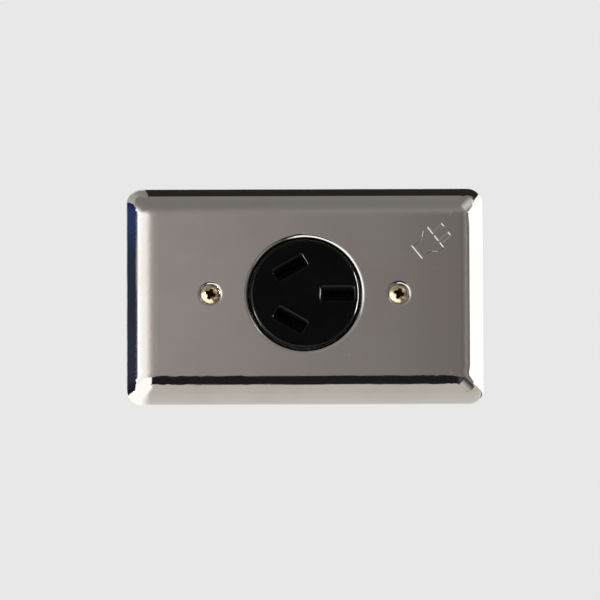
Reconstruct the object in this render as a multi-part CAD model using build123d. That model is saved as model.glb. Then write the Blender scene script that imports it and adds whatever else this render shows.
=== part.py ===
from build123d import *
import os
from math import atan2, cos, pi, radians, sin, tan

# A single flush receptacle with its cover plate, the long side level.
# It is drawn lying on its back: x runs along the plate, y up the wall and z out of the wall.
# The wall's surface is z = 0. WALL turns each finished piece upright, with the front facing -Y.
WALL = Plane(origin=(0, 0, 0), x_dir=(1, 0, 0), z_dir=(0, -1, 0))

# Cover plate, pressed from sheet
plate_length = 114.3
plate_width = 69.85
plate_depth = 6.0
sheet = 0.8
rim_corner_radius = 4.9
front_corner_radius = 3.7
skirt_height = 3.25
skirt_inset = 0.3
bevel_width = 7.2
skirt_bend_radius = 4.8
shoulder_radius = 16.0
lip_depth = 2.2
lip_bend_radius = 1.5

# Cover screws and the pressed dimples that they sit in
cover_screw_spacing = 60.325
dimple_radius = 3.4
dimple_half_angle = 41.0
dimple_edge_radius = 1.6
shank_radius = 1.75
shank_play = 0.2
cover_head_radius = 3.15
cover_head_edge = 0.12
cover_head_rise = 1.0
cover_screw_length = 11.0
recess_width = 1.1
recess_span = 4.5
recess_depth = 1.8
recess_core_radius = 1.15
head_slot_width = 0.9
head_slot_depth = 0.35
left_screw_turn = 70.0
right_screw_turn = 73.0

# Round boss of the socket and its three blade slots
boss_radius = 17.6
boss_stand = 0.4
boss_edge_radius = 1.1
boss_gap = 0.3
slot_length = 9.5
slot_width = 2.1
slot_corner = 0.3
lead_length = 11.1
lead_width = 4.9
lead_corner = 0.9
lead_depth = 1.3
lead_rim_radius = 0.6
level_slot_x = 10.5
slanted_slot_x = -4.6
slanted_slot_y = 8.45
slanted_slot_tilt = 30.0

# Mouldings behind the wall
body_length = 52.0
body_width = 41.0
body_corner = 4.0
face_flange = 7.0
body_depth = 24.0
parting_gap = 0.05
body_edge_radius = 0.8
back_panel_depth = 0.6
back_panel_length = 30.0
back_panel_width = 12.0
back_panel_corner = 2.0

# Strap
strap_sheet = 1.3
strap_end_gap = 4.65
strap_arm_width = 22.0
strap_ring_width = 3.4
strap_hole_gap = 0.25
strap_end_radius = 3.0
ear_length = 7.5
ear_width = 30.0
ear_score_width = 0.5
ear_score_depth = 0.35
box_screw_spacing = 83.34
box_slot_length = 7.0
thread_gap = 0.05

# Screws that hold the strap to the wall box, and the fibre squares that keep them in it
box_screw_slot_gap = 0.3
box_head_radius = 3.5
box_head_height = 2.2
box_neck_radius = 1.5
box_screw_reach = 19.0
box_screw_tip = 0.5
keeper_side = 9.0
keeper_thickness = 0.4
keeper_gap = 0.05

# Folded contacts and the chambers round them
contact_sheet = 0.8
contact_width = 8.6
contact_gap = 1.7
mouth_gap = 3.0
mouth_depth = 2.0
contact_top = 1.4
contact_floor = -17.5
chamber_gap = 0.6
seat_gap = 0.05

# Terminals, on the long sides of the body
slanted_terminal_x = -9.0
level_terminal_x = 12.0
terminal_height = -13.5
terminal_width = 8.0
terminal_side_gap = 0.6
terminal_plate_setback = 4.5
terminal_plate_height = 10.0
clamp_sheet = 1.0
clamp_height = 7.5
clamp_grip_radius = 0.6
terminal_head_radius = 3.6
terminal_head_height = 2.1
terminal_screw_radius = 1.9
terminal_screw_reach = 4.0
terminal_slot_width = 1.0
terminal_slot_depth = 1.0

# Rivets through both mouldings and the strap
rivet_x = 22.4
rivet_radius = 1.6
rivet_head_radius = 2.9
rivet_head_height = 0.8
rivet_recess_depth = 1.6
rivet_recess_gap = 0.4
rivet_gap = 0.05

os.makedirs("parts", exist_ok=True)
UP = (Align.CENTER, Align.CENTER, Align.MIN)


def save(name, piece):
    export_step(WALL.location * piece, f"parts/{name}.step")


def disc(radius, low, high, x=0.0, y=0.0):
    """A round bar that stands on height low and ends at height high."""
    return Pos(x, y, low) * Cylinder(radius, high - low, align=UP)


def cone(low_radius, high_radius, low, high, x=0.0, y=0.0):
    return Pos(x, y, low) * Cone(low_radius, high_radius, high - low, align=UP)


def block(length, width, low, high, corner=0.0):
    """A plate with upright sides, its corners rounded where a radius is given."""
    outline = RectangleRounded(length, width, corner) if corner else Rectangle(length, width)
    return Pos(0, 0, low) * extrude(outline, high - low)


def edges_at(piece, height):
    return piece.edges().filter_by_position(Axis.Z, height - 0.001, height + 0.001)


# Cover plate
# The rim's section goes up a steep skirt, then along the slope to the flat front.
outer_section = [(0.0, 0.0), (skirt_inset, skirt_height), (bevel_width, plate_depth)]
skirt_angle = atan2(skirt_height, skirt_inset)
slope_angle = atan2(plate_depth - skirt_height, bevel_width - skirt_inset)


def inner_corner(point, angle_before, angle_after):
    """The same corner on the back of the sheet, square to both stretches that meet there."""
    turn = cos((angle_before - angle_after) / 2)
    middle = (angle_before + angle_after) / 2
    return (point[0] + sheet / turn * sin(middle), point[1] - sheet / turn * cos(middle))


def pressed_form(section, bend, shoulder):
    rings = []
    for (inset, height), (outer_inset, _), corner in zip(section, outer_section, corner_radii):
        length = plate_length - 2 * inset
        width = plate_width - 2 * inset
        ring = RectangleRounded(length, width, corner - (inset - outer_inset))
        rings.append(Pos(0, 0, height) * ring)
    form = loft(rings, ruled=True)
    form = fillet(edges_at(form, section[2][1]), shoulder)
    return fillet(edges_at(form, section[1][1]), bend)


inner_section = [
    (sheet / sin(skirt_angle), 0.0),
    inner_corner(outer_section[1], skirt_angle, slope_angle),
    inner_corner(outer_section[2], slope_angle, 0.0),
]
corner_radii = [rim_corner_radius, rim_corner_radius, front_corner_radius]
plate_outside = pressed_form(outer_section, skirt_bend_radius, shoulder_radius)
plate_inside = pressed_form(inner_section, skirt_bend_radius - sheet, shoulder_radius - sheet)
cover_plate = plate_outside - plate_inside

# The hole's edge is turned in all round, and the screw dimples are pressed in.
plate_hole_radius = boss_radius + boss_gap
dimple_slope = tan(radians(dimple_half_angle))
dimple_depth = (dimple_radius - shank_radius - shank_play) / dimple_slope
dimple_floor = plate_depth - dimple_depth
dimple_wall = sheet / cos(radians(dimple_half_angle))
screw_hole_radius = shank_radius + shank_play
cover_screw_x = [-cover_screw_spacing / 2, cover_screw_spacing / 2]
cover_plate += disc(plate_hole_radius + sheet, plate_depth - lip_depth, plate_depth - sheet / 2)
for x in cover_screw_x:
    cover_plate += cone(
        screw_hole_radius + dimple_wall, dimple_radius + dimple_wall, dimple_floor, plate_depth, x
    )
cover_plate -= disc(plate_hole_radius, 0, plate_depth + 1)
for x in cover_screw_x:
    cover_plate -= cone(screw_hole_radius, dimple_radius, dimple_floor, plate_depth, x)
front_edges = edges_at(cover_plate, plate_depth).filter_by(GeomType.CIRCLE)
hole_edge = front_edges.filter_by(lambda edge: abs(edge.radius - plate_hole_radius) < 0.01)
cover_plate = fillet(hole_edge, lip_bend_radius)
back_edges = edges_at(cover_plate, plate_depth - sheet).filter_by(GeomType.CIRCLE)
lip_root = back_edges.filter_by(lambda edge: abs(edge.radius - plate_hole_radius - sheet) < 0.01)
cover_plate = fillet(lip_root, lip_bend_radius - sheet)
front_edges = edges_at(cover_plate, plate_depth).filter_by(GeomType.CIRCLE)
dimple_edges = front_edges.filter_by(lambda edge: abs(edge.radius - dimple_radius) < 0.01)
cover_plate = fillet(dimple_edges, dimple_edge_radius)
save("cover_plate", cover_plate)

# Cover screws
# The cone under the head rests in the dimple, and the top is a low dome.
head_seat = plate_depth - (dimple_radius - cover_head_radius) / dimple_slope + thread_gap
cone_height = (cover_head_radius - shank_radius) / dimple_slope
dome_radius = (cover_head_radius**2 + cover_head_rise**2) / (2 * cover_head_rise)


def cover_screw(x, turn):
    crown = head_seat + cover_head_edge + cover_head_rise
    head = cone(shank_radius, cover_head_radius, head_seat - cone_height, head_seat)
    head += disc(cover_head_radius, head_seat, crown)
    head &= Pos(0, 0, crown - dome_radius) * Sphere(dome_radius)
    cutter = Box(2 * cover_head_radius + 1, head_slot_width, head_slot_depth, align=UP)
    head -= Pos(0, 0, crown - head_slot_depth) * Rot(0, 0, turn) * cutter
    for arm in (turn, turn + 90):
        wing = Pos(0, 0, crown - recess_depth) * Box(recess_span, recess_width, recess_depth, align=UP)
        taper = cone(recess_width / 2, recess_span / 2, crown - recess_depth, crown)
        head -= Rot(0, 0, arm) * (wing & taper)
    head -= cone(recess_width / 2, recess_core_radius, crown - recess_depth, crown)
    tip = head_seat - cover_screw_length
    shank = disc(shank_radius, tip, head_seat - cone_height)
    shank = chamfer(edges_at(shank, tip), box_screw_tip)
    return Pos(x, 0, 0) * (head + shank)


save("cover_screw_left", cover_screw(cover_screw_x[0], left_screw_turn))
save("cover_screw_right", cover_screw(cover_screw_x[1], right_screw_turn))

# Blade slots, each as its name, its place and the side of the body that its terminal is on
slots = {
    "right": (Pos(level_slot_x, 0, 0), level_terminal_x, 1),
    "upper": (
        Pos(slanted_slot_x, slanted_slot_y, 0) * Rot(0, 0, slanted_slot_tilt),
        slanted_terminal_x,
        1,
    ),
    "lower": (
        Pos(slanted_slot_x, -slanted_slot_y, 0) * Rot(0, 0, -slanted_slot_tilt),
        slanted_terminal_x,
        -1,
    ),
}
boss_top = plate_depth + boss_stand
chamber_length = contact_width + 2 * chamber_gap
chamber_width = mouth_gap + 2 * contact_sheet + 2 * chamber_gap
chamber_top = contact_top + chamber_gap
chamber_floor = contact_floor - seat_gap

# Front moulding: a flange behind the strap and the boss that comes through the plate
socket_face = block(body_length, body_width, -face_flange, 0, body_corner)
socket_face += disc(boss_radius, 0, boss_top)
socket_face = fillet(edges_at(socket_face, boss_top), boss_edge_radius)
for place, terminal_x, side in slots.values():
    mouth = loft(
        [
            Pos(0, 0, boss_top - lead_depth) * RectangleRounded(slot_length, slot_width, slot_corner),
            Pos(0, 0, boss_top) * RectangleRounded(lead_length, lead_width, lead_corner),
        ]
    )
    throat = block(slot_length, slot_width, chamber_top, boss_top - lead_depth, slot_corner)
    chamber = block(chamber_length, chamber_width, -face_flange, chamber_top)
    socket_face -= place * (mouth + throat + chamber)
rims = edges_at(socket_face, boss_top)
boss_rim = boss_radius - boss_edge_radius
rims = rims.filter_by(lambda edge: abs(edge.length - 2 * pi * boss_rim) > 0.1)
socket_face = fillet(rims, lead_rim_radius)
for side in (-1, 1):
    socket_face -= disc(rivet_radius + rivet_gap, -face_flange, 0, side * rivet_x)
save("socket_face", socket_face)

# Contacts
# Each is folded from one strip: two leaves that grip the blade, a floor, and a foot that runs
# to an upright terminal plate near the side of the body.
half_gap = contact_gap / 2
half_mouth = mouth_gap / 2
leaf_bend = contact_top - mouth_depth
leaf_right = [
    (half_mouth, contact_top),
    (half_mouth + contact_sheet, contact_top),
    (half_gap + contact_sheet, leaf_bend),
    (half_gap + contact_sheet, contact_floor),
]
leaf_left = [
    (-half_gap, leaf_bend),
    (-half_gap, contact_floor + contact_sheet),
    (half_gap, contact_floor + contact_sheet),
    (half_gap, leaf_bend),
]
fold = leaf_right + [(-across, height) for across, height in reversed(leaf_right)] + leaf_left
plate_face_y = body_width / 2 - terminal_plate_setback


def foot_outline(place, terminal_x, side, extra=0.0):
    """The foot seen from the front: from the side of the folded leaves to the terminal plate."""
    across = half_gap + contact_sheet / 2
    reach = contact_width / 2 - extra - contact_sheet
    near = [place * Pos(along, side * across, 0) for along in (-reach, reach)]
    near = [(spot.position.X, spot.position.Y) for spot in near]
    reach = terminal_width / 2 - extra
    far_y = side * (plate_face_y - contact_sheet / 2)
    far = [(terminal_x + reach, far_y), (terminal_x - reach, far_y)]
    return make_face(Polyline(*near, *far, close=True))


def upright(width, low, high, near_y, far_y, x, side, corner=0.0):
    """A plate that stands square to y, between two distances from the middle of the body."""
    outline = RectangleRounded(width, high - low, corner) if corner else Rectangle(width, high - low)
    plane = Plane(origin=(x, side * near_y, (low + high) / 2), x_dir=(1, 0, 0), z_dir=(0, side, 0))
    return extrude(plane * outline, far_y - near_y)


def bar_across(radius, near_y, far_y, x, height, side):
    """A round bar along y at a height, between two distances from the middle of the body."""
    plane = Plane(origin=(x, side * near_y, height), x_dir=(1, 0, 0), z_dir=(0, side, 0))
    return extrude(plane * Circle(radius), far_y - near_y)


for name, (place, terminal_x, side) in slots.items():
    side_plane = Plane(origin=(-contact_width / 2, 0, 0), x_dir=(0, 1, 0), z_dir=(1, 0, 0))
    leaves = extrude(side_plane * make_face(Polyline(*fold, close=True)), contact_width)
    foot = Pos(0, 0, contact_floor) * extrude(foot_outline(place, terminal_x, side), contact_sheet)
    plate_low = contact_floor
    plate_high = contact_floor + terminal_plate_height
    stand = upright(
        terminal_width,
        plate_low,
        plate_high,
        plate_face_y - contact_sheet,
        plate_face_y,
        terminal_x,
        side,
    )
    hole = bar_across(
        terminal_screw_radius + thread_gap,
        plate_face_y - contact_sheet,
        plate_face_y,
        terminal_x,
        terminal_height,
        side,
    )
    save(f"contact_{name}", place * leaves + foot + stand - hole)

# Rear moulding
# The contacts drop in from the front, so every chamber is open at the parting line.
base_top = -face_flange - parting_gap
socket_base = block(body_length, body_width, -body_depth, base_top, body_corner)
socket_base = fillet(edges_at(socket_base, -body_depth), body_edge_radius)
panel = block(back_panel_length, back_panel_width, 0, back_panel_depth, back_panel_corner)
socket_base -= Pos(0, 0, -body_depth) * panel
pocket_width = terminal_width + 2 * terminal_side_gap
pocket_floor_y = plate_face_y - contact_sheet - seat_gap
for place, terminal_x, side in slots.values():
    chamber = block(chamber_length, chamber_width, chamber_floor, base_top)
    channel = offset(foot_outline(place, terminal_x, side), seat_gap)
    channel = Pos(0, 0, chamber_floor) * extrude(channel, base_top - chamber_floor)
    pocket = upright(
        pocket_width, -body_depth, base_top, pocket_floor_y, body_width / 2, terminal_x, side
    )
    screw_end_y = plate_face_y - contact_sheet - terminal_screw_reach
    screw_bore = bar_across(
        terminal_screw_radius + shank_play,
        screw_end_y - shank_play,
        pocket_floor_y,
        terminal_x,
        terminal_height,
        side,
    )
    socket_base -= place * chamber
    socket_base -= channel
    socket_base -= pocket
    socket_base -= screw_bore
for side in (-1, 1):
    x = side * rivet_x
    socket_base -= disc(rivet_radius + rivet_gap, -body_depth, base_top, x)
    recess_radius = rivet_head_radius + rivet_recess_gap
    socket_base -= disc(recess_radius, -body_depth, -body_depth + rivet_recess_depth, x)
save("socket_base", socket_base)

# Clamp plates and binding screws
clamp_low = terminal_height - clamp_height / 2
clamp_near = plate_face_y + seat_gap
clamp_far = clamp_near + clamp_sheet
head_near = clamp_far + seat_gap
for name, (place, x, side) in slots.items():
    clamp = upright(
        terminal_width, clamp_low, clamp_low + clamp_height, clamp_near, clamp_far, x, side, 0.6
    )
    clamp -= bar_across(
        terminal_screw_radius + shank_play, clamp_near, clamp_far, x, terminal_height, side
    )
    for wire_x in (-1, 1):
        wire = x + wire_x * (terminal_screw_radius + terminal_width / 2) / 2
        groove = disc(clamp_grip_radius, clamp_low, clamp_low + clamp_height, wire, side * clamp_near)
        clamp -= groove
    save(f"terminal_clamp_{name}", clamp)

    screw = bar_across(
        terminal_head_radius,
        head_near,
        head_near + terminal_head_height,
        x,
        terminal_height,
        side,
    )
    screw += bar_across(
        terminal_screw_radius,
        plate_face_y - contact_sheet - terminal_screw_reach,
        head_near,
        x,
        terminal_height,
        side,
    )
    driver_slot = upright(
        2 * terminal_head_radius + 1,
        terminal_height - terminal_slot_width / 2,
        terminal_height + terminal_slot_width / 2,
        head_near + terminal_head_height - terminal_slot_depth,
        head_near + terminal_head_height,
        x,
        side,
    )
    save(f"terminal_screw_{name}", screw - driver_slot)

# Strap
# The ring lies round the boss, the arms reach past the box screws, and the ears rest on the wall.
ring_radius = boss_radius + strap_hole_gap + strap_ring_width
strap_length = plate_length - 2 * strap_end_gap
strap_outline = RectangleRounded(strap_length, strap_arm_width, strap_end_radius)
strap_outline += Circle(ring_radius)
ear_x = (strap_length - ear_length) / 2
for side in (-1, 1):
    strap_outline += Pos(side * ear_x, 0) * RectangleRounded(ear_length, ear_width, strap_end_radius)
strap_outline -= Circle(boss_radius + strap_hole_gap)
for side in (-1, 1):
    strap_outline -= Pos(side * cover_screw_spacing / 2, 0) * Circle(shank_radius + thread_gap)
    strap_outline -= Pos(side * rivet_x, 0) * Circle(rivet_radius + rivet_gap)
    box_slot = SlotOverall(box_slot_length, 2 * (shank_radius + box_screw_slot_gap), rotation=90)
    strap_outline -= Pos(side * box_screw_spacing / 2, 0) * box_slot
mounting_strap = extrude(strap_outline, strap_sheet)
score_y = strap_arm_width / 2
for end in (-1, 1):
    for side in (-1, 1):
        groove = Pos(end * ear_x, side * score_y, strap_sheet - ear_score_depth)
        mounting_strap -= groove * Box(ear_length + 1, ear_score_width, ear_score_depth, align=UP)
save("mounting_strap", mounting_strap)

# Rivets, headed in the back of the rear moulding and clinched on the front of the strap
for name, side in (("left", -1), ("right", 1)):
    x = side * rivet_x
    back_seat = -body_depth + rivet_recess_depth - rivet_gap
    front_seat = strap_sheet + rivet_gap
    rivet = disc(rivet_radius, back_seat, front_seat, x)
    rivet += disc(rivet_head_radius, back_seat - rivet_head_height, back_seat, x)
    rivet += disc(rivet_head_radius, front_seat, front_seat + rivet_head_height, x)
    ends = edges_at(rivet, front_seat + rivet_head_height)
    ends += edges_at(rivet, back_seat - rivet_head_height)
    save(f"body_rivet_{name}", chamfer(ends, rivet_head_height / 2))

# Box screws and the fibre squares on their necks
for name, side in (("left", -1), ("right", 1)):
    x = side * box_screw_spacing / 2
    seat = strap_sheet + seat_gap
    crown = seat + box_head_height
    thread_top = -keeper_thickness - seat_gap
    head = disc(box_head_radius, seat, crown, x)
    head = chamfer(edges_at(head, crown), box_head_height / 2)
    driver_slot = Box(2 * box_head_radius + 1, terminal_slot_width, terminal_slot_depth, align=UP)
    head -= Pos(x, 0, crown - terminal_slot_depth) * driver_slot
    neck = disc(box_neck_radius, thread_top, seat, x)
    thread = disc(shank_radius, -box_screw_reach, thread_top, x)
    thread = chamfer(edges_at(thread, -box_screw_reach), box_screw_tip)
    save(f"box_screw_{name}", head + neck + thread)
    keeper = block(keeper_side, keeper_side, -keeper_thickness, 0)
    keeper -= disc(box_neck_radius + keeper_gap, -keeper_thickness, 0)
    save(f"screw_keeper_{name}", Pos(x, 0, 0) * keeper)
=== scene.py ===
# %% [markdown]
# # A flush receptacle under a bright cover plate
# The solids come in as a fixed frame, already in metres and in their places. This lesson dresses
# them: it gives each piece the finish of the real one, raises the small plug sign on the plate,
# cuts the screw threads, and sets up a camera, a pale floor and a soft room for the polished metal
# to mirror.

# %% Load the frame
import math

import bpy
import bmesh
from mathutils import Matrix, Vector


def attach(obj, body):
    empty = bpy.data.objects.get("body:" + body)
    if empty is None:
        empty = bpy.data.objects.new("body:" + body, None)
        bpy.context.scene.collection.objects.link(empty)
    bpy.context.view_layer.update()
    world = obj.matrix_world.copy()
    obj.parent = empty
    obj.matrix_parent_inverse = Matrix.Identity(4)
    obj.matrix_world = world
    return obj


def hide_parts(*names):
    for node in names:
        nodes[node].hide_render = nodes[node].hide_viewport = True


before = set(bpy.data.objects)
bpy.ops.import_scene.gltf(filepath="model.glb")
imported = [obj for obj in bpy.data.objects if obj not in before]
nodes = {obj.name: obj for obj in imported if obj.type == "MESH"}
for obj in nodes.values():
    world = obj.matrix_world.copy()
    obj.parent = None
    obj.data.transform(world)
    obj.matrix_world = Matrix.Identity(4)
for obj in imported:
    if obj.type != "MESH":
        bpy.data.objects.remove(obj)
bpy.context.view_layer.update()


# %% [markdown]
# ## Small helpers
# A material is a graph of nodes. Placing and wiring them by hand takes many lines, so one helper
# adds a node and fills in its settings, and another joins two sockets. Sums, ranges and mixes of
# colour come up in every finish and get a helper each. Colours are easiest to judge as the eye sees
# them, from 0 to 255, while the shader wants linear light, so one more converts.

# %% Helpers for nodes and colours
MM = 0.001
X, Y, Z = 0, 1, 2
# A Mix node has sockets for every kind of value. These are the ones that it uses for colours.
MIX_FACTOR, MIX_FIRST, MIX_SECOND, MIX_RESULT = 0, 6, 7, 2


def linear(red, green, blue):
    """A colour as seen on a screen, 0 to 255, as linear light."""
    values = [channel / 255 for channel in (red, green, blue)]
    values = [v / 12.92 if v <= 0.04045 else ((v + 0.055) / 1.055) ** 2.4 for v in values]
    return (*values, 1.0)


def add(tree, kind, settings=None, **sockets):
    """Adds a shader node. settings are its options, sockets the values of its inputs by name."""
    made = tree.nodes.new("ShaderNode" + kind)
    for key, value in (settings or {}).items():
        setattr(made, key, value)
    for key, value in sockets.items():
        made.inputs[key.replace("_", " ")].default_value = value
    return made


def join(tree, source, target):
    """Wires a node's output to another node's input."""
    tree.links.new(source, target)


def math_node(tree, operation, first, second=None, clamp=False):
    """One sum or product. Each side is a number or another node's output."""
    made = tree.nodes.new("ShaderNodeMath")
    made.operation = operation
    made.use_clamp = clamp
    for socket, value in zip(made.inputs, (first, second)):
        if value is None:
            continue
        if isinstance(value, (int, float)):
            socket.default_value = value
        else:
            tree.links.new(value, socket)
    return made.outputs[0]


def scaled(tree, value, factor, base):
    """A value times a factor, plus a base."""
    return math_node(tree, "ADD", math_node(tree, "MULTIPLY", value, factor), base)


def spread(tree, value, low, high, to_low=0.0, to_high=1.0, smooth=True):
    """Maps a value from one range to another, with soft ends unless smooth is off."""
    made = tree.nodes.new("ShaderNodeMapRange")
    made.interpolation_type = "SMOOTHSTEP" if smooth else "LINEAR"
    tree.links.new(value, made.inputs["Value"])
    for key, number in zip(("From Min", "From Max", "To Min", "To Max"), (low, high, to_low, to_high)):
        made.inputs[key].default_value = number
    return made.outputs["Result"]


def blend_colours(tree, factor, first, second):
    """Mixes two colours. Each is a colour or another node's output."""
    made = tree.nodes.new("ShaderNodeMix")
    made.data_type = "RGBA"
    for index, value in ((MIX_FACTOR, factor), (MIX_FIRST, first), (MIX_SECOND, second)):
        if isinstance(value, (int, float, tuple)):
            made.inputs[index].default_value = value
        else:
            tree.links.new(value, made.inputs[index])
    return made.outputs[MIX_RESULT]


print("node helpers ready")

# %% [markdown]
# ## Where a point lies
# Most patterns here are laid out over the object itself, so that they stay on it when it moves.
# These helpers give a point's place on its own object, the three parts of that place, the length of
# a line from its parts, and noise read at a place.

# %% Helpers for places and noise


def object_place(tree):
    """Where a point lies on its own object, in metres."""
    return add(tree, "TexCoord").outputs["Object"]


def place_parts(tree):
    """The x, y and z of a point on its own object, in metres."""
    parts = add(tree, "SeparateXYZ")
    join(tree, object_place(tree), parts.inputs[0])
    return parts.outputs


def line_length(tree, *sides):
    """The length of a line from its parts along x, y and z. A side of None counts as nothing."""
    line = add(tree, "CombineXYZ")
    for socket, side in zip(line.inputs, sides):
        if side is not None:
            join(tree, side, socket)
    length = add(tree, "VectorMath", {"operation": "LENGTH"})
    join(tree, line.outputs[0], length.inputs[0])
    return length.outputs["Value"]


def noise(tree, place, size, detail, roughness=0.5):
    """Noise read at a place, with its size from another node's output."""
    made = add(tree, "TexNoise", Detail=detail, Roughness=roughness)
    join(tree, place, made.inputs["Vector"])
    join(tree, size, made.inputs["Scale"])
    return made.outputs


def group(name, inputs, outputs):
    """A new shader group with named sockets, each input with its usual value."""
    tree = bpy.data.node_groups.new(name, "ShaderNodeTree")
    for label, usual in inputs.items():
        kind = "NodeSocketColor" if isinstance(usual, tuple) else "NodeSocketFloat"
        tree.interface.new_socket(label, in_out="INPUT", socket_type=kind).default_value = usual
    for label, kind in outputs.items():
        tree.interface.new_socket(label, in_out="OUTPUT", socket_type="NodeSocket" + kind)
    return tree, tree.nodes.new("NodeGroupInput").outputs, tree.nodes.new("NodeGroupOutput").inputs


print("place and group helpers ready")

# %% [markdown]
# ## Marks of handling
# Polished sheet metal is never quite even. Fingers leave a faint haze, wiping leaves hair-fine
# lines, and the press leaves the sheet a touch wavy, which bends what it mirrors. A single picture
# of scratches would repeat, so noise makes them: drawn out about eighty times one way, it turns
# into lines. The three marks are one group with its own amounts, ready for any polished metal.

# %% Shared group: handling marks
LINE_STRETCH = 0.012
# Each set of lines: its angle in radians, and how far it is shifted so that no two match.
LINE_TURNS = ((0.12, 0.0), (-0.5, 3.7), (1.25, 8.1))
HAZE_RANGE = (0.42, 0.68)
LINE_RANGE = (0.66, 0.74)

handling_marks, values, results = group(
    "handling_marks",
    {"Haze Size": 60.0, "Line Size": 900.0, "Wave Size": 30.0},
    {"Haze": "Float", "Lines": "Float", "Waves": "Float"},
)
tree = handling_marks
place = object_place(tree)
haze = noise(tree, place, values["Haze Size"], 4.0, 0.6)
join(tree, spread(tree, haze["Fac"], *HAZE_RANGE), results["Haze"])
line_masks = []
for angle, offset in LINE_TURNS:
    turned_place = add(
        tree,
        "Mapping",
        Rotation=(0.0, angle, 0.0),
        Scale=(LINE_STRETCH, 1.0, 1.0),
        Location=(offset, 0.0, 0.0),
    )
    join(tree, place, turned_place.inputs["Vector"])
    lines = noise(tree, turned_place.outputs["Vector"], values["Line Size"], 2.0)
    line_masks.append(spread(tree, lines["Fac"], *LINE_RANGE))
both = math_node(tree, "MAXIMUM", line_masks[0], line_masks[1])
join(tree, math_node(tree, "MAXIMUM", both, line_masks[2]), results["Lines"])
waves = noise(tree, place, values["Wave Size"], 1.0, 0.4)
join(tree, waves["Fac"], results["Waves"])
print("group", tree.name, "with", len(tree.nodes), "nodes")

# %% [markdown]
# ## Grain of moulded plastic
# Black moulding compound is pressed in a steel tool. Its gloss is broken by a fine orange peel and
# by specks of the filler, and dust settles in the dull spots. One group gives the peel as a height
# and the specks and clouds as masks, and both mouldings use it with different amounts.

# %% Shared group: moulded grain
PEEL_RANGE = (0.3, 0.7)
CLOUD_RANGE = (0.35, 0.7)
# A speck is full at its middle, so the range runs from far to near.
SPECK_RANGE = (0.16, 0.08)

moulded_grain, values, results = group(
    "moulded_grain",
    {"Peel Size": 2500.0, "Speck Size": 3500.0, "Cloud Size": 120.0},
    {"Peel": "Float", "Specks": "Float", "Clouds": "Float"},
)
tree = moulded_grain
place = object_place(tree)
for label, size_label, limits, detail in (
    ("Peel", "Peel Size", PEEL_RANGE, 3.0),
    ("Clouds", "Cloud Size", CLOUD_RANGE, 5.0),
):
    cloud = noise(tree, place, values[size_label], detail, 0.55)
    join(tree, spread(tree, cloud["Fac"], *limits), results[label])
specks = add(tree, "TexVoronoi", {"feature": "F1"}, Randomness=1.0)
join(tree, place, specks.inputs["Vector"])
join(tree, values["Speck Size"], specks.inputs["Scale"])
join(tree, spread(tree, specks.outputs["Distance"], *SPECK_RANGE), results["Specks"])
print("group", tree.name, "with", len(tree.nodes), "nodes")

# %% [markdown]
# ## Dull plating
# Zinc on the hidden steel parts and the skin on raw brass are cloudy: patches of lighter and darker
# metal, some duller than others. A cell pattern warped by noise gives patches with soft borders,
# which reads as plating where plain noise would read as dirt.

# %% Shared group: plated patches
WARP = 2.0 * MM

plated_patches, values, results = group(
    "plated_patches",
    {"Patch Size": 350.0, "Grain Size": 2600.0},
    {"Patches": "Float", "Grain": "Float"},
)
tree = plated_patches
place = object_place(tree)
warp = noise(tree, place, values["Patch Size"], 2.0)
moved = add(tree, "VectorMath", {"operation": "MULTIPLY_ADD"})
join(tree, warp["Color"], moved.inputs[0])
moved.inputs[1].default_value = (WARP, WARP, WARP)
join(tree, place, moved.inputs[2])
cells = add(tree, "TexVoronoi", {"feature": "SMOOTH_F1"}, Smoothness=0.6)
join(tree, moved.outputs["Vector"], cells.inputs["Vector"])
join(tree, values["Patch Size"], cells.inputs["Scale"])
cell_tone = add(tree, "SeparateColor")
join(tree, cells.outputs["Color"], cell_tone.inputs[0])
join(tree, cell_tone.outputs[0], results["Patches"])
grain = noise(tree, place, values["Grain Size"], 3.0)
join(tree, grain["Fac"], results["Grain"])
print("group", tree.name, "with", len(tree.nodes), "nodes")

# %% [markdown]
# ## A blank material
# Every finish below starts the same way: an empty graph with one Principled shader and an output.
# What is the same all over a surface is set on the shader's own socket. What changes over it comes
# from the groups.

# %% Helpers for materials


def blank_material(name, metallic=0.0, **sockets):
    """A material with one Principled shader, its graph and that shader."""
    material = bpy.data.materials.new(name)
    material.use_nodes = True
    tree = material.node_tree
    tree.nodes.clear()
    shader = add(tree, "BsdfPrincipled", Metallic=metallic, **sockets)
    join(tree, shader.outputs["BSDF"], add(tree, "OutputMaterial").inputs["Surface"])
    return material, tree, shader


def place_group(tree, shared, **amounts):
    """Adds a shared group with its own amounts and gives its outputs."""
    made = tree.nodes.new("ShaderNodeGroup")
    made.node_tree = shared
    for key, value in amounts.items():
        made.inputs[key.replace("_", " ")].default_value = value
    return made.outputs


def bump(tree, shader, heights):
    """Stacks bumps, each a height, how far it stands out in metres and its strength."""
    last = None
    for height, distance, strength in heights:
        made = add(tree, "Bump", Strength=strength, Distance=distance)
        join(tree, height, made.inputs["Height"])
        if last is not None:
            join(tree, last.outputs["Normal"], made.inputs["Normal"])
        last = made
    join(tree, last.outputs["Normal"], shader.inputs["Normal"])


def dress(material, *names):
    """Gives a material to whole nodes of the frame."""
    for name in names:
        slots = nodes[name].data.materials
        slots.clear()
        slots.append(material)
    print(material.name, "on", ", ".join(names))


print("material helpers ready")

# %% [markdown]
# ## Bright plated sheet
# The cover plate is pressed steel with a mirror finish. Nearly all of its look is what it mirrors, so
# the shader is a plain metal of low roughness. The marks only raise the roughness here and there,
# and a very slight wave in the sheet keeps long reflections from looking ruled.

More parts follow.
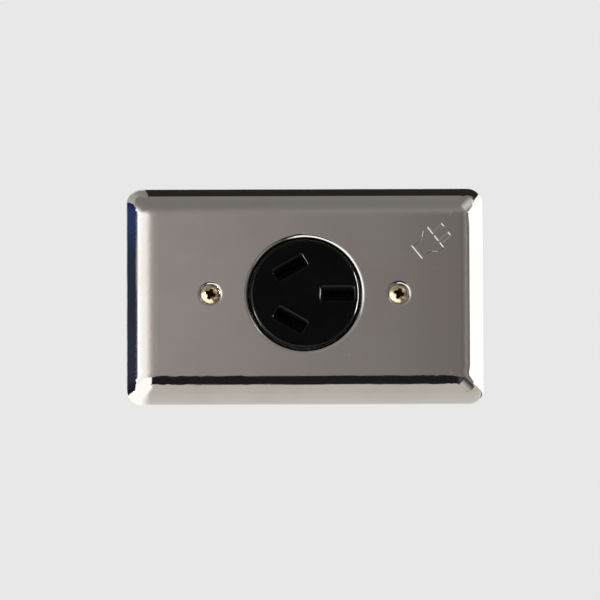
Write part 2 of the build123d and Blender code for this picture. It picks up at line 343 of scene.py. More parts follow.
# %% Finish of the cover plate
CLEAN_PLATE = (0.62, 0.60, 0.575, 1.0)
HAZY_PLATE = (0.60, 0.575, 0.55, 1.0)
POLISHED_ROUGH = 0.05
HAZE_ROUGH = 0.035
LINE_ROUGH = 0.03
WAVE_HEIGHT = 0.01 * MM
LINE_HEIGHT = 0.0006 * MM

plate_metal, tree, shader = blank_material("bright_plate", metallic=1.0)
marks = place_group(tree, handling_marks, Haze_Size=55.0, Line_Size=1100.0, Wave_Size=26.0)
colour = blend_colours(tree, marks["Haze"], CLEAN_PLATE, HAZY_PLATE)
join(tree, colour, shader.inputs["Base Color"])
rough = scaled(tree, marks["Haze"], HAZE_ROUGH, POLISHED_ROUGH)
rough = math_node(tree, "ADD", rough, math_node(tree, "MULTIPLY", marks["Lines"], LINE_ROUGH))
join(tree, rough, shader.inputs["Roughness"])
bump(tree, shader, [(marks["Waves"], WAVE_HEIGHT, 0.5), (marks["Lines"], LINE_HEIGHT, 0.2)])
dress(plate_metal, "cover_plate")

# %% [markdown]
# ## Plug sign on the plate
# A small outline of a plug is pressed into the upper right of the plate. A pressed line shows because
# its flanks mirror other parts of the room than the flat does. Bump could only fake that, so the
# lines are real: each stroke is a narrow ridge that stands about 0.08 mm above the flat, with two
# facets on each flank and a narrow flat top. The cross bar is broken in three, as the light breaks
# it in the photograph. The shape is a list of corners in millimetres.

# %% Plug sign
PLATE_FRONT = -6.0
STROKE_HALF = 0.26
STROKE_RISE = 0.087
STROKE_SUNK = 0.005
STROKE_OVERRUN = 0.4
# Across the ridge from -1 to 1, and up from 0 to 1.
STROKE_SECTION = [(-1.0, 0.0), (-0.65, 0.478), (-0.1, 1.0), (0.1, 1.0), (0.65, 0.478), (1.0, 0.0)]


def stroke_ridge(mesh, points):
    """Adds a ridge along a run of points, in millimetres across and up the plate."""
    for start, end in zip(points, points[1:]):
        across, up = end[0] - start[0], end[1] - start[1]
        length = math.hypot(across, up)
        across, up = across / length, up / length
        rows = []
        for point, reach in ((start, -STROKE_OVERRUN), (end, STROKE_OVERRUN)):
            row = []
            for offset, rise in STROKE_SECTION:
                x = point[0] + across * reach * STROKE_HALF - up * offset * STROKE_HALF
                z = point[1] + up * reach * STROKE_HALF + across * offset * STROKE_HALF
                y = PLATE_FRONT + STROKE_SUNK - rise * STROKE_RISE
                row.append(mesh.verts.new((x * MM, y * MM, z * MM)))
            rows.append(row)
        for index in range(len(STROKE_SECTION) - 1):
            mesh.faces.new((rows[0][index], rows[1][index], rows[1][index + 1], rows[0][index + 1]))
        mesh.faces.new(rows[0])
        mesh.faces.new(rows[1][::-1])


def new_piece(name, mesh):
    """Turns a bmesh into an object in the scene."""
    bmesh.ops.recalc_face_normals(mesh, faces=mesh.faces)
    data = bpy.data.meshes.new(name)
    mesh.to_mesh(data)
    mesh.free()
    made = bpy.data.objects.new(name, data)
    bpy.context.collection.objects.link(made)
    return made


plug_strokes = [
    [(39.41, 21.57), (38.13, 20.08), (37.74, 18.15), (36.66, 16.84), (34.35, 15.54), (37.74, 11.36)],
    [(37.74, 11.36), (38.77, 12.92), (40.78, 13.86), (42.70, 13.86), (44.56, 14.89), (43.42, 16.37)],
    [(42.84, 17.12), (41.68, 18.63)],
    [(41.10, 19.38), (39.41, 21.57)],
    [(40.88, 20.01), (43.82, 22.80), (44.62, 21.76), (41.71, 19.43)],
    [(43.09, 17.39), (45.94, 19.91), (46.77, 18.88), (44.18, 16.64)],
]
sign_mesh = bmesh.new()
for run in plug_strokes:
    stroke_ridge(sign_mesh, run)
plug_sign = new_piece("plug_sign", sign_mesh)
plug_sign.data.materials.append(plate_metal)
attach(plug_sign, "root")
print("plug sign:", len(plug_sign.data.polygons), "faces")

# %% [markdown]
# ## Black moulding
# The socket's face is glossy, with a faint peel. The body behind the wall is the same compound, less
# polished. Both get lighter specks of filler and a thin veil of dust that only shows in the sheen.
# Plugs have polished the face's rounded rims and not its flat front, and dust dulls the slopes inside
# its slots. So the face's gloss follows how deep a point lies and how far it is from the middle.

# %% Finishes of the two mouldings
FACE_FRONT = -6.4 * MM
SHOULDER_START = 16.2 * MM
SHOULDER_BLEND = 0.2 * MM
# Depths behind the flat front at which the rims' gloss and the slopes' dust come in.
RIM_DEPTHS = (0.004 * MM, 0.03 * MM)
SLOPE_DEPTHS = (0.22 * MM, 0.5 * MM)
FRONT_GLOSS = 0.09
RIM_GLOSS = 0.24
SLOPE_LOSS = 0.20
CLOUD_ROUGH = 0.12


def rim_gloss(tree):
    """The face's gloss: low on the flat front, higher on rims, lost on the slots' slopes."""
    parts = place_parts(tree)
    depth = math_node(tree, "SUBTRACT", parts[Y], FACE_FRONT)
    radius = line_length(tree, parts[X], None, parts[Z])
    inside = spread(tree, radius, SHOULDER_START, SHOULDER_START - SHOULDER_BLEND)
    sunk = spread(tree, depth, *SLOPE_DEPTHS, 0.0, SLOPE_LOSS)
    slope = math_node(tree, "MULTIPLY", inside, sunk)
    polished = spread(tree, depth, *RIM_DEPTHS, FRONT_GLOSS, RIM_GLOSS)
    return math_node(tree, "SUBTRACT", polished, slope, clamp=True)


def moulding(name, deep, pale, base_rough, peel_height, **sockets):
    """A black moulding in two tones, with a peel of a given height in metres."""
    material, tree, shader = blank_material(name, **sockets)
    grain = place_group(tree, moulded_grain)
    specks = math_node(tree, "MULTIPLY", grain["Specks"], 0.5)
    clouds = math_node(tree, "MULTIPLY", grain["Clouds"], 0.4)
    amount = math_node(tree, "ADD", specks, clouds, clamp=True)
    join(tree, blend_colours(tree, amount, deep, pale), shader.inputs["Base Color"])
    join(tree, scaled(tree, grain["Clouds"], CLOUD_ROUGH, base_rough), shader.inputs["Roughness"])
    bump(tree, shader, [(grain["Peel"], peel_height, 0.6)])
    return material, tree, shader


face_black, tree, shader = moulding(
    "face_moulding", (0.0012, 0.0012, 0.0013, 1), (0.0040, 0.0040, 0.0044, 1), 0.06, 0.001 * MM
)
join(tree, rim_gloss(tree), shader.inputs["Specular IOR Level"])
dress(face_black, "socket_face")
base_black = moulding(
    "body_moulding",
    (0.018, 0.017, 0.017, 1),
    (0.040, 0.038, 0.036, 1),
    0.38,
    0.012 * MM,
    Specular_IOR_Level=0.4,
)[0]
dress(base_black, "socket_base")

# %% [markdown]
# ## Brass, nickel and zinc
# The contacts are brass, in a darker tone than the terminals as painted shade for their place deep in
# the slots. Two terminals are brass and one is nickel, and the strap and its fasteners are dull zinc.
# They are the same kind of surface, so one function makes them all from the patch group. They differ in
# their two tones, in how rough they are and in how big the patches are.

# %% Finishes of the hidden metal parts
PATCH_ROUGH = 0.12
GRAIN_HEIGHT = 0.008 * MM


def patchy_metal(name, bright, dull, base_rough, patch_size, *on):
    """A metal with patches of two tones, the dull ones rougher, on the named nodes."""
    material, tree, shader = blank_material(name, metallic=1.0)
    patches = place_group(tree, plated_patches, Patch_Size=patch_size)
    join(tree, blend_colours(tree, patches["Patches"], bright, dull), shader.inputs["Base Color"])
    join(tree, scaled(tree, patches["Patches"], PATCH_ROUGH, base_rough), shader.inputs["Roughness"])
    bump(tree, shader, [(patches["Grain"], GRAIN_HEIGHT, 0.5)])
    dress(material, *on)
    return material


# The contacts' darker brass is painted shade for the deep slots they sit in.
patchy_metal(
    "contact_brass", (0.50, 0.34, 0.15, 1), (0.36, 0.22, 0.09, 1), 0.34, 300.0,
    "contact_right", "contact_upper", "contact_lower",
)
patchy_metal(
    "terminal_brass", (0.74, 0.55, 0.27, 1), (0.60, 0.40, 0.17, 1), 0.24, 400.0,
    "terminal_screw_upper", "terminal_screw_lower", "terminal_clamp_upper", "terminal_clamp_lower",
)
patchy_metal(
    "terminal_nickel", (0.62, 0.61, 0.58, 1), (0.48, 0.47, 0.44, 1), 0.24, 400.0,
    "terminal_screw_right", "terminal_clamp_right",
)
patchy_metal(
    "strap_zinc", (0.52, 0.53, 0.54, 1), (0.36, 0.37, 0.38, 1), 0.36, 220.0,
    "mounting_strap",
)
fastener_zinc = patchy_metal(
    "fastener_zinc", (0.56, 0.56, 0.55, 1), (0.40, 0.40, 0.40, 1), 0.28, 420.0,
    "body_rivet_left", "body_rivet_right", "box_screw_left", "box_screw_right",
)

# %% [markdown]
# ## Yellow plated screws with painted shade
# The two cover screws are bright yellow plated. Their colour also holds painted shade: a dark brown in
# the recess and in a broken ring round the head's edge, rougher there too. Painting it would need an
# unwrapped surface.
# Here the shader measures instead. The oval top is part of a ball, so whatever lies well inside that
# ball is in the recess, and the distance from the screw's axis tells where the edge is. The two
# screws mirror each other about x = 0, so the size of x alone serves for both.

# %% Finish of the cover screws
HEAD_CENTRE = 30.1625 * MM
HEAD_RADIUS = 3.15 * MM
DOME_CENTRE = -1.4211 * MM
DOME_RADIUS = 5.4613 * MM
# How far inside the ball the painted shade of the recess starts and is full, and the same from the
# edge.
RECESS_BAND = (0.04 * MM, 0.55 * MM)
EDGE_BAND = (0.45 * MM, 0.02 * MM)
RING_BREAKUP_RANGE = (0.48, 0.66)
UNSHADED_ROUGH, SHADED_ROUGH = 0.20, 0.62
BRIGHT_YELLOW = (0.80, 0.67, 0.47, 1)
DULL_YELLOW = (0.70, 0.54, 0.34, 1)
# Brown of the painted shade in the recess and round the head's edge.
SHADE_BROWN = (0.045, 0.020, 0.008, 1)

screw_plating, tree, shader = blank_material("yellow_plating", metallic=1.0)
patches = place_group(tree, plated_patches, Patch_Size=700.0)
parts = place_parts(tree)
sideways = math_node(tree, "SUBTRACT", math_node(tree, "ABSOLUTE", parts[X]), HEAD_CENTRE)
outwards = math_node(tree, "SUBTRACT", parts[Y], DOME_CENTRE)
from_axis = line_length(tree, sideways, None, parts[Z])
from_dome = line_length(tree, sideways, outwards, parts[Z])
sunk = spread(tree, from_dome, DOME_RADIUS - RECESS_BAND[0], DOME_RADIUS - RECESS_BAND[1])
edge = spread(tree, from_axis, HEAD_RADIUS - EDGE_BAND[0], HEAD_RADIUS - EDGE_BAND[1])
ring_breakup = spread(tree, patches["Grain"], *RING_BREAKUP_RANGE)
ring = math_node(tree, "MULTIPLY", edge, scaled(tree, ring_breakup, 0.5, 0.4))
# Painted shade: the recess and the broken edge ring turn the plating brown.
painted_shade = math_node(tree, "MAXIMUM", sunk, ring)
plating = blend_colours(tree, patches["Patches"], BRIGHT_YELLOW, DULL_YELLOW)
join(tree, blend_colours(tree, painted_shade, plating, SHADE_BROWN), shader.inputs["Base Color"])
join(tree, spread(tree, painted_shade, 0.0, 1.0, UNSHADED_ROUGH, SHADED_ROUGH), shader.inputs["Roughness"])
bump(tree, shader, [(patches["Grain"], 0.010 * MM, 0.6)])
dress(screw_plating, "cover_screw_left", "cover_screw_right")

# %% [markdown]
# ## Red fibre
# The squares that keep the box screws in the strap are cut from red-brown vulcanised fibre, a kind
# of hard card, matt and a little fuzzy. The moulded grain group serves again: large clouds for the
# colour, and the peel for the fuzz.

# %% Finish of the fibre squares
DARK_FIBRE = (0.20, 0.075, 0.04, 1)
LIGHT_FIBRE = (0.31, 0.14, 0.08, 1)

fibre, tree, shader = blank_material("red_fibre", Specular_IOR_Level=0.25)
grain = place_group(tree, moulded_grain, Peel_Size=1800.0, Cloud_Size=500.0)
colour = blend_colours(tree, grain["Clouds"], DARK_FIBRE, LIGHT_FIBRE)
join(tree, colour, shader.inputs["Base Color"])
join(tree, scaled(tree, grain["Peel"], 0.1, 0.75), shader.inputs["Roughness"])
bump(tree, shader, [(grain["Peel"], 0.03 * MM, 0.7)])
dress(fibre, "screw_keeper_left", "screw_keeper_right")

# %% [markdown]
# ## How to turn a head and cut a thread
# The two screws that hold the strap to the wall box show their whole length from the side, and a
# plain bar there would look unfinished. A thread can be made by sweeping a small section along a
# helix, but the ends are hard to close. Here the bar is a grid of points, wrapped round the axis, and
# each point's distance from the axis follows a wave that advances one pitch a turn. The grid closes
# on itself, and the wave fades out at both ends as a rolled thread does. A head is a profile turned
# round the axis, and its slot is cut with a boolean.

# %% Helpers for turned and threaded pieces
ROWS_PER_TURN = 8
TIP_FADE = 0.6
FLANK_STEEPNESS = 1.35
ROOT_FLAT = 0.12


def ring_of(mesh, radii, place):
    """Adds a ring of points round the axis, each at its own radius, in millimetres."""
    ring = []
    for step, radius in enumerate(radii):
        angle = 2 * math.pi * step / len(radii)
        across, up = radius * MM * math.cos(angle), radius * MM * math.sin(angle)
        ring.append(mesh.verts.new((across, place * MM, up)))
    return ring


def join_rings(mesh, rings):
    """Joins each ring to the next with smooth faces. A ring of one point closes an end."""
    for one, two in zip(rings, rings[1:]):
        steps = max(len(one), len(two))
        for step in range(steps):
            after = (step + 1) % steps
            if len(one) == 1:
                corners = (one[0], two[after], two[step])
            elif len(two) == 1:
                corners = (one[step], one[after], two[0])
            else:
                corners = (one[step], one[after], two[after], two[step])
            mesh.faces.new(corners).smooth = True


def turned(mesh, profile, steps=48):
    """Adds a closed turned form. profile is distance from the axis and place along it, in mm."""
    rings = []
    for radius, place in profile:
        points = 1 if radius == 0.0 else steps
        rings.append(ring_of(mesh, [radius] * points, place))
    join_rings(mesh, rings)


def thread_rows(start, end, depth, pitch):
    """Places along the bar and, for each, how far out the crest may stand there."""
    count = int((end - start) / pitch * ROWS_PER_TURN)
    rows = []
    for index in range(count + 1):
        place = start + (end - start) * index / count
        fade = min((place - start) / pitch, (end - place) / pitch / TIP_FADE, 1.0)
        rows.append((place, depth * max(0.0, fade)))
    return rows


def crest_share(turns):
    """How high the thread stands after some turns, from 0 in its root to 1 on its crest."""
    wave = FLANK_STEEPNESS * (1.0 - abs(2.0 * (turns % 1.0) - 1.0)) - ROOT_FLAT
    return min(1.0, max(0.0, wave))


def threaded(mesh, start, end, outer, depth, pitch, steps=36):
    """Adds a closed threaded bar along the axis, sizes in millimetres."""
    rings = []
    for place, height in thread_rows(start, end, depth, pitch):
        shares = [crest_share(place / pitch - step / steps) for step in range(steps)]
        rings.append(ring_of(mesh, [outer - depth + height * share for share in shares], place))
    join_rings(mesh, rings)
    mesh.faces.new(rings[0][::-1])
    mesh.faces.new(rings[-1])


def cut_away(piece, low, high):
    """Cuts a box, given by two corners in millimetres, out of a piece."""
    corners = [[value * MM for value in corner] for corner in (low, high)]
    block = bmesh.new()
    bmesh.ops.create_cube(block, size=1.0)
    for vert in block.verts:
        vert.co = [corners[0 if vert.co[axis] < 0 else 1][axis] for axis in (X, Y, Z)]
    cutter = new_piece("cutter", block)
    step = piece.modifiers.new("cut", "BOOLEAN")
    step.operation = "DIFFERENCE"
    step.solver = "EXACT"
    step.object = cutter
    cut = bpy.data.meshes.new_from_object(piece.evaluated_get(bpy.context.evaluated_depsgraph_get()))
    piece.modifiers.clear()
    piece.data = cut
    bpy.data.objects.remove(cutter)


print("turning and threading helpers ready")

# %% [markdown]
# ## The two box screws
# Each screw is a round head with a slot, a plain neck and a threaded bar that ends in the wall box.
# The slot is cut while the head is still alone, because a boolean is quickest and safest on a small
# closed form. Then the three forms go into one mesh, which takes the place of the plain solid.

# %% Box screws
BOX_SPACING = 83.34
HEAD_TOP, HEAD_SEAT, NECK_END, SCREW_TIP = -3.55, -1.35, 0.45, 19.0
HEAD_OUTER, NECK_OUTER, NECK_OVERLAP = 3.5, 1.5, 0.3
THREAD_OUTER, THREAD_DEPTH, THREAD_PITCH = 1.75, 0.45, 0.794
SLOT_HALF, SLOT_DEPTH = 0.5, 1.0

head_profile = [
    (0.0, HEAD_TOP),
    (1.6, HEAD_TOP),
    (2.3, HEAD_TOP + 0.08),
    (2.85, HEAD_TOP + 0.32),
    (3.25, HEAD_TOP + 0.72),
    (3.45, HEAD_TOP + 1.2),
    (HEAD_OUTER, HEAD_SEAT - 0.55),
    (HEAD_OUTER, HEAD_SEAT - 0.12),
    (3.38, HEAD_SEAT),
    (0.0, HEAD_SEAT),
]
neck_end = NECK_END + NECK_OVERLAP
neck_profile = [(0.0, HEAD_SEAT), (NECK_OUTER, HEAD_SEAT), (NECK_OUTER, neck_end), (0.0, neck_end)]
slot_low = (-HEAD_OUTER - 0.5, HEAD_TOP - 1.0, -SLOT_HALF)
slot_high = (HEAD_OUTER + 0.5, HEAD_TOP + SLOT_DEPTH, SLOT_HALF)
for name, side in (("box_screw_left", -1), ("box_screw_right", 1)):
    head_mesh = bmesh.new()
    turned(head_mesh, head_profile)
    head = new_piece(name + "_head", head_mesh)
    cut_away(head, slot_low, slot_high)
    screw_mesh = bmesh.new()
    screw_mesh.from_mesh(head.data)
    bpy.data.objects.remove(head)
    turned(screw_mesh, neck_profile)
    threaded(screw_mesh, NECK_END, SCREW_TIP, THREAD_OUTER, THREAD_DEPTH, THREAD_PITCH)
    bmesh.ops.translate(screw_mesh, verts=screw_mesh.verts, vec=(side * BOX_SPACING / 2 * MM, 0.0, 0.0))
    screw = new_piece(name + "_threaded", screw_mesh)
    screw.data.materials.append(fastener_zinc)
    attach(screw, "root")
    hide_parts(name)
    print(screw.name, len(screw.data.polygons), "faces")

# %% [markdown]
# ## Pale surroundings
# The photograph has an even pale ground with no edge in it. A big pale floor lies well below, and the
# world gives the same pale tone to the camera and to whatever mirrors it or looks through it. For
# every other ray the world is a softer light, so that a wide lamp can still shape the body.

# %% World and floor
BACKGROUND = linear(232, 232, 232)
SOFT_LEVEL = 0.55
FLOOR_LEVEL = -2.4
FLOOR_HALF = 12.0

world = bpy.data.worlds.new("pale_room")
bpy.context.scene.world = world
world.use_nodes = True
tree = world.node_tree
tree.nodes.clear()
ray = add(tree, "LightPath").outputs
seen = math_node(tree, "MAXIMUM", ray["Is Camera Ray"], ray["Is Glossy Ray"])
seen = math_node(tree, "MAXIMUM", seen, ray["Is Transmission Ray"])
plain = add(tree, "Background", Color=BACKGROUND, Strength=1.0)
soft = add(tree, "Background", Color=(1.0, 1.0, 1.0, 1.0), Strength=SOFT_LEVEL)
choose = add(tree, "MixShader")
join(tree, seen, choose.inputs[0])
join(tree, soft.outputs[0], choose.inputs[1])
join(tree, plain.outputs[0], choose.inputs[2])
join(tree, choose.outputs[0], add(tree, "OutputWorld").inputs["Surface"])


def quad(name, corners):
    """A flat four-cornered mesh with its corners given in metres."""
    mesh = bpy.data.meshes.new(name)
    mesh.from_pydata(corners, [], [(0, 1, 2, 3)])
    made = bpy.data.objects.new(name, mesh)
    bpy.context.collection.objects.link(made)
    return made


floor_corners = [
    (across * FLOOR_HALF, along * FLOOR_HALF, FLOOR_LEVEL)
    for across, along in ((-1, -1), (1, -1), (1, 1), (-1, 1))
]
floor = quad("floor", floor_corners)
paint, tree, shader = blank_material("floor_paint", Roughness=0.9, Specular_IOR_Level=0.1)
clouds = add(tree, "TexNoise", Scale=3.0, Detail=3.0)
join(tree, object_place(tree), clouds.inputs["Vector"])
colour = blend_colours(tree, clouds.outputs["Fac"], (0.86, 0.86, 0.86, 1), (0.88, 0.88, 0.88, 1))
join(tree, colour, shader.inputs["Base Color"])
floor.data.materials.append(paint)
print("floor", FLOOR_LEVEL, "m, background", [round(v, 3) for v in BACKGROUND[:3]])

# %% [markdown]
# ## Cards that the metal mirrors
# A mirror has no look of its own, so its surroundings are part of the finish. A photographer stands
# cards round a polished thing and looks past them. Here every card is a plain glowing sheet that only
# mirror rays see, with one or two ramps of colour. A picture of a room on the world would
# be quicker, but it lies endlessly far away, while a near card can light one bend and be hidden
# from the next.

# %% Helpers for cards
# How far from a mask's centre, as a share of its reach, a card stays whole.
MASK_CORE = 0.10


def colour_ramp(tree, parts, along, stops):
    """Colours along X, Y or Z, each at its own place in metres."""
    first, last = stops[0][0], stops[-1][0]
    ramp = tree.nodes.new("ShaderNodeValToRGB")
    join(tree, spread(tree, parts[along], first, last, smooth=False), ramp.inputs[0])
    elements = ramp.color_ramp.elements
    elements.remove(elements[-1])
    for index, (where, colour) in enumerate(stops):
        position = (where - first) / (last - first)
        element = elements[0] if index == 0 else elements.new(position)
        element.position = position
        element.color = (*colour, 1.0)
    return ramp.outputs["Color"]


def card(name, corners, along, stops, over=None, mask=None):
    """A glowing sheet with a ramp of colour along X, Y or Z.

    over fades it to a second ramp: axis, low, high, along, stops.
    mask fades it away round a point: centre, reach.
    """
    made = quad(name, corners)
    material = bpy.data.materials.new(name)
    material.use_nodes = True
    tree = material.node_tree
    tree.nodes.clear()
    parts = place_parts(tree)
    colour = colour_ramp(tree, parts, along, stops)
    if over is not None:
        axis, low, high, other_along, other_stops = over
        amount = spread(tree, parts[axis], low, high)
        colour = blend_colours(tree, amount, colour, colour_ramp(tree, parts, other_along, other_stops))
    glow = add(tree, "Emission", Strength=1.0)
    join(tree, colour, glow.inputs["Color"])
    surface = glow.outputs[0]
    if mask is not None:
        centre, reach = mask
        away = add(tree, "VectorMath", {"operation": "DISTANCE"})
        join(tree, object_place(tree), away.inputs[0])
        away.inputs[1].default_value = centre
        mixed = add(tree, "MixShader")
        join(tree, spread(tree, away.outputs["Value"], reach * MASK_CORE, reach), mixed.inputs[0])
        join(tree, surface, mixed.inputs[1])
        join(tree, add(tree, "BsdfTransparent").outputs[0], mixed.inputs[2])
        surface = mixed.outputs[0]
    join(tree, surface, add(tree, "OutputMaterial").inputs["Surface"])
    material.cycles.emission_sampling = "NONE"
    made.data.materials.append(material)
    made.visible_camera = False
    made.visible_diffuse = False
    made.visible_shadow = False
    made.visible_transmission = False
    made.visible_volume_scatter = False


def facing(axis, at, low, high):
    """Corners of a sheet square to an axis, between a low and a high corner on the other two."""
    others = [index for index in (X, Y, Z) if index != axis]
    corners = []
    for first, second in ((0, 0), (1, 0), (1, 1), (0, 1)):
        corner = [0.0, 0.0, 0.0]
        corner[axis] = at
        corner[others[0]] = (low, high)[first][0]
        corner[others[1]] = (low, high)[second][1]
        corners.append(tuple(corner))
    return corners


def even(low, high, colour):
    """Stops of one colour from a low to a high place."""
    return [(low, colour), (high, colour)]


print("card helpers ready")

# %% [markdown]
# ## The grey card in front
# The flat of the plate looks straight forward and a little up, so it mirrors one large card. The card
# is grey, and white at the left, and the flat shows the same change from light to grey. Its upper
# part fades to one grey across its whole width, which the bend above the flat mirrors. A soft light
# spot stands before it at the upper right, for the pale upper right corner.

# %% Front card and corner glow
FRONT, TOP, BOTTOM = -0.60, 0.85, -0.39
BEFORE_FRONT = FRONT + 0.01
LEFT, RIGHT = -0.72, 0.68
STRIP_TOP, STRIP_LOW = -0.078, -0.330
card(
    "front_card",
    facing(Y, FRONT, (LEFT, STRIP_TOP), (RIGHT, TOP)),
    X,
    [
        (LEFT, (2.4, 2.4, 2.4)),
        (-0.617, (1.85, 1.85, 1.85)),
        (-0.510, (1.48, 1.48, 1.44)),
        (-0.369, (1.35, 1.34, 1.32)),
        (-0.307, (1.05, 1.02, 1.00)),
        (-0.251, (0.735, 0.69, 0.67)),
        (-0.198, (0.55, 0.50, 0.48)),
        (-0.148, (0.475, 0.43, 0.44)),
        (-0.090, (0.425, 0.40, 0.39)),
        (-0.050, (0.415, 0.385, 0.375)),
        (0.010, (0.312, 0.289, 0.279)),
        (0.034, (0.296, 0.274, 0.265)),
        (0.050, (0.246, 0.225, 0.215)),
        (0.268, (0.236, 0.216, 0.208)),
        (0.350, (0.210, 0.190, 0.185)),
        (0.420, (0.27, 0.26, 0.25)),
        (0.480, (0.37, 0.36, 0.35)),
        (0.530, (0.24, 0.23, 0.22)),
        (0.570, (0.20, 0.19, 0.18)),
        (RIGHT, (0.20, 0.19, 0.18)),
    ],
    over=(
        Z,
        0.16,
        0.36,
        Z,
        [
            (0.16, (0.40, 0.375, 0.365)),
            (0.279, (0.37, 0.345, 0.335)),
            (0.339, (0.335, 0.315, 0.305)),
            (0.406, (0.292, 0.275, 0.270)),
            (0.488, (0.276, 0.262, 0.258)),
            (0.574, (0.266, 0.262, 0.255)),
            (TOP, (0.292, 0.278, 0.262)),
        ],
    ),
)
card(
    "corner_glow_card",
    facing(Y, BEFORE_FRONT, (0.30, 0.22), (0.67, 0.72)),
    Z,
    even(0.22, 0.72, (1.30, 1.29, 1.24)),
    mask=((0.49, BEFORE_FRONT, 0.46), 0.22),
)
print("front card from", LEFT, "to", RIGHT, "m")

# %% [markdown]
# ## The dark strip below it
# The dark line along the lower bend of the plate is the narrow place where the bend looks forward
# and down. A dark strip under the grey card draws it. It is white at its left end and beige at its
# right end, where the line stops in the photograph. The lower right corner looks a little past that
# end, so it gets a card of its own that fades from beige to dim grey.

# %% Cards low in front
NEAR_BLACK = (0.018, 0.017, 0.021)
DIM_GREY = (0.085, 0.080, 0.075)
WHITE = (1.62, 1.62, 1.60)
BEIGE = (0.70, 0.685, 0.63)
LOW_DARK, LOW_DARKEST = (0.12, 0.11, 0.10), (0.10, 0.09, 0.08)
card(
    "front_strip",
    facing(Y, FRONT, (LEFT, STRIP_LOW), (RIGHT, STRIP_TOP)),
    X,
    [
        (LEFT, WHITE),
        (-0.20, WHITE),
        (-0.17, NEAR_BLACK),
        (0.15, NEAR_BLACK),
        (0.22, DIM_GREY),
        (0.42, DIM_GREY),
        (0.50, BEIGE),
        (RIGHT, BEIGE),
    ],
)
card(
    "front_corner_card",
    [
        (0.17, BEFORE_FRONT, STRIP_LOW - 0.01),
        (RIGHT, BEFORE_FRONT, STRIP_LOW - 0.01),
        (RIGHT, BEFORE_FRONT, STRIP_TOP),
        (0.36, BEFORE_FRONT, -0.110),
    ],
    Z,
    [(STRIP_LOW - 0.01, BEIGE), (-0.235, BEIGE), (-0.145, DIM_GREY), (STRIP_TOP, DIM_GREY)],
)
card(
    "front_low_card",
    facing(Y, FRONT, (LEFT, BOTTOM), (RIGHT, STRIP_LOW)),
    X,
    [(LEFT, WHITE), (0.06, WHITE), (0.14, LOW_DARK), (RIGHT, LOW_DARKEST)],
)
print("strip from", STRIP_LOW, "to", STRIP_TOP, "m")

# %% [markdown]
# ## The far cards above, below and beside
# The rounded shoulders of the plate, the lips of its holes and the screw heads look past the front
# card, so the room goes on round it: grey and then dark overhead, white below except on the right,
# white at the left with grey above it, and dark at the right. Above the front card the grey runs on
# from one card into the next, because the plate shows the place where they meet.

# %% Far cards
FAR_BACK = 1.2
TOP_SPLIT = -0.03
BOTTOM_SPLIT = -0.25
card(
    "top_card",
    facing(Z, TOP, (TOP_SPLIT, FRONT), (RIGHT, 0.6)),
    Y,
    [
        (FRONT, (0.292, 0.278, 0.262)),
        (-0.425, (0.28, 0.265, 0.25)),
        (-0.400, (0.028, 0.026, 0.020)),
        (0.6, (0.03, 0.03, 0.027)),
    ],
)
card(
    "top_left_card",
    facing(Z, TOP, (LEFT, FRONT), (TOP_SPLIT, 0.6)),
    X,
    [(LEFT, (0.56, 0.54, 0.52)), (-0.45, (0.42, 0.40, 0.385)), (TOP_SPLIT, (0.30, 0.285, 0.27))],
)
card(
    "bottom_card",
    facing(Z, BOTTOM, (BOTTOM_SPLIT, FRONT), (RIGHT, FAR_BACK)),
    X,
    [(BOTTOM_SPLIT, WHITE), (0.08, WHITE), (0.16, LOW_DARK), (RIGHT, LOW_DARKEST)],
)
card(
    "bottom_left_card",
    facing(Z, BOTTOM, (LEFT, FRONT), (BOTTOM_SPLIT, FAR_BACK)),
    X,
    even(LEFT, BOTTOM_SPLIT, WHITE),
)
card(
    "left_card",
    facing(X, LEFT, (FRONT, BOTTOM), (FAR_BACK, TOP)),
    Z,
    [(BOTTOM, WHITE), (0.12, (2.0, 2.0, 2.0)), (0.30, (0.60, 0.58, 0.56)), (TOP, (0.50, 0.48, 0.46))],
)
card(
    "right_far_card",
    facing(X, RIGHT, (FRONT, BOTTOM), (FAR_BACK, TOP)),
    Z,
    [(BOTTOM, (0.06, 0.06, 0.06)), (TOP, (0.05, 0.05, 0.05))],
)
print("far cards up to", TOP, "m and down to", BOTTOM, "m")

# %% [markdown]
# ## The near cards round the rim
# The skirt of the plate looks sideways along the wall, and its slopes nearly so. Small cards stand
# close beside them: dark above, pale below, dark blue at the left and white at the right. Their
# front edges set where each line starts, and their slanted ends how the tones meet at the corners.

# %% Near cards
NEAR_TOP, NEAR_BOTTOM = 0.055, -0.042
NEAR_LEFT, NEAR_RIGHT = -0.075, 0.066
card(
    "top_near_card",
    facing(Z, NEAR_TOP, (-0.0520, -0.0205), (0.085, 0.030)),
    Y,
    [(-0.0205, (0.030, 0.027, 0.021)), (0.030, (0.030, 0.030, 0.027))],
)
card(
    "bottom_near_card",
    [
        (-0.075, -0.0332, NEAR_BOTTOM),
        (0.098, -0.0332, NEAR_BOTTOM),
        (0.098, 0.032, NEAR_BOTTOM),
        (-0.066, 0.032, NEAR_BOTTOM),
    ],
    Y,
    [
        (-0.0332, (0.69, 0.675, 0.62)),
        (-0.0206, (0.70, 0.688, 0.628)),
        (-0.0117, (0.755, 0.725, 0.67)),
        (0.002, (0.80, 0.78, 0.75)),
        (0.020, (0.86, 0.86, 0.84)),
        (0.032, (0.88, 0.88, 0.88)),
    ],
    over=(X, -0.0492, -0.0540, Y, even(-0.0332, 0.032, WHITE)),
)
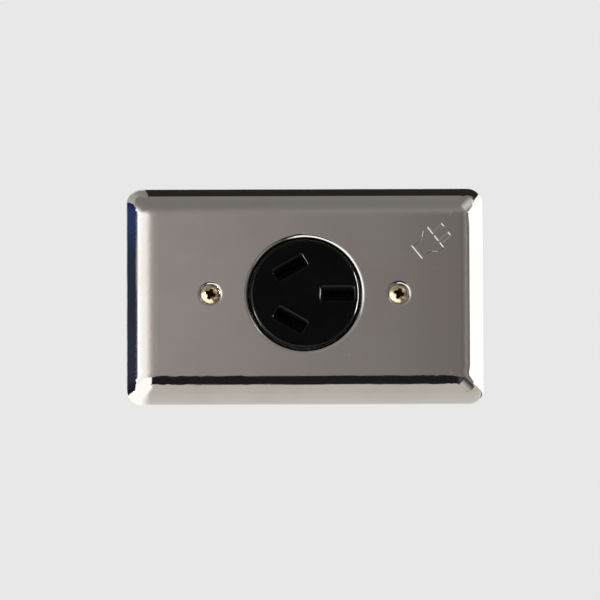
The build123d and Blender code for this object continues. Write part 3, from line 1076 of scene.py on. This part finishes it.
card(
    "left_near_card",
    facing(X, NEAR_LEFT, (-0.0266, -0.038), (0.022, 0.0370)),
    Z,
    [
        (-0.038, (0.018, 0.020, 0.024)),
        (-0.030, (0.022, 0.025, 0.030)),
        (-0.022, (0.045, 0.050, 0.085)),
        (0.000, (0.035, 0.044, 0.070)),
        (0.018, (0.026, 0.046, 0.085)),
        (0.025, (0.034, 0.062, 0.17)),
        (0.032, (0.035, 0.055, 0.19)),
        (0.037, (0.012, 0.014, 0.05)),
    ],
    over=(Y, -0.0235, -0.0275, Z, [(-0.038, (0.02, 0.022, 0.03)), (0.037, (0.10, 0.11, 0.115))]),
)
card(
    "right_edge_card",
    [
        (NEAR_RIGHT, -0.0202, -0.0298),
        (NEAR_RIGHT, 0.022, -0.0335),
        (NEAR_RIGHT, 0.022, 0.0455),
        (NEAR_RIGHT, -0.0202, 0.0360),
    ],
    Z,
    even(-0.0335, 0.0455, (1.78, 1.78, 1.76)),
)
card(
    "corner_near_card",
    facing(X, 0.098, (-0.060, -0.085), (0.032, -0.0335)),
    Y,
    [(-0.060, BEIGE), (0.032, (0.80, 0.78, 0.75))],
)
print("near cards at x", NEAR_LEFT, NEAR_RIGHT, "and z", NEAR_BOTTOM, NEAR_TOP, "m")

# %% [markdown]
# ## Two strong cards for the black boss
# Black plastic mirrors only a few parts in a hundred, and the boss's rounded shoulder is less than a
# pixel wide, so the light lines on it and on the slots' ends need a very strong source. Near cards
# hide these two narrow ones from nearly all of the plate's rim, and only what looks along the wall
# at a shallow angle sees them. The right one has a price: small glints on the left screw's head.

# %% Strong cards
LEFT_GLARE = (200, 200, 196)
RIGHT_GLARE = (480, 480, 470)
card(
    "left_strong_card",
    facing(X, -0.15, (-0.0588, -0.170), (-0.0500, -0.022)),
    Z,
    even(-0.170, -0.022, LEFT_GLARE),
)
card(
    "right_strong_card",
    facing(X, 0.15, (-0.0516, -0.036), (-0.0445, 0.086)),
    Z,
    even(-0.036, 0.086, RIGHT_GLARE),
)

# %% [markdown]
# ## Lamp
# One wide soft lamp from the upper left front gives the body behind the wall and the floor below
# their light and shade. It is big compared with the object, so shadows stay soft.

# %% Lamp
LAMP_WIDTH, LAMP_HEIGHT = 1.6, 1.2
LAMP_POWER = 30.0
LAMP_PLACE = (-1.4, -1.6, 1.8)

lamp_data = bpy.data.lights.new("soft_lamp", "AREA")
lamp_data.shape = "RECTANGLE"
lamp_data.size, lamp_data.size_y = LAMP_WIDTH, LAMP_HEIGHT
lamp_data.energy = LAMP_POWER
lamp = bpy.data.objects.new("soft_lamp", lamp_data)
bpy.context.collection.objects.link(lamp)
lamp.location = LAMP_PLACE
lamp.rotation_euler = (-lamp.location).to_track_quat("-Z", "Y").to_euler()
lamp.visible_camera = False
lamp.visible_glossy = False
print("lamp", lamp_data.energy, "W")

# %% [markdown]
# ## Camera
# The photograph was taken from far away and a little below the middle, so upright edges stay
# upright and the plate's height is a touch short. The camera stands 3 m off, 9 degrees below, and
# its long lens is worked out from how wide the picture is at the plate.

# %% Camera
CAMERA_DISTANCE = 3.0
CAMERA_BELOW = math.radians(9.0)
CAMERA_ROLL = math.radians(-0.18)
CAMERA_REACH = 50.0
PICTURE_WIDTH = 0.1920
SENSOR_WIDTH = 36.0
LOOK_AT = Vector((-0.0015, -0.003, -0.00157))

camera_data = bpy.data.cameras.new("camera")
camera = bpy.data.objects.new("camera", camera_data)
bpy.context.collection.objects.link(camera)
back = Vector((0.0, -math.cos(CAMERA_BELOW), -math.sin(CAMERA_BELOW)))
camera.location = LOOK_AT + back * CAMERA_DISTANCE
aim = (-back).to_track_quat("-Z", "Y").to_matrix().to_4x4()
camera.rotation_euler = (aim @ Matrix.Rotation(CAMERA_ROLL, 4, "Z")).to_euler()
camera_data.sensor_width = SENSOR_WIDTH
camera_data.lens = SENSOR_WIDTH * CAMERA_DISTANCE / PICTURE_WIDTH
camera_data.clip_end = CAMERA_REACH
bpy.context.scene.camera = camera
bpy.context.scene.view_settings.view_transform = "Standard"
print("lens", round(camera_data.lens), "mm")
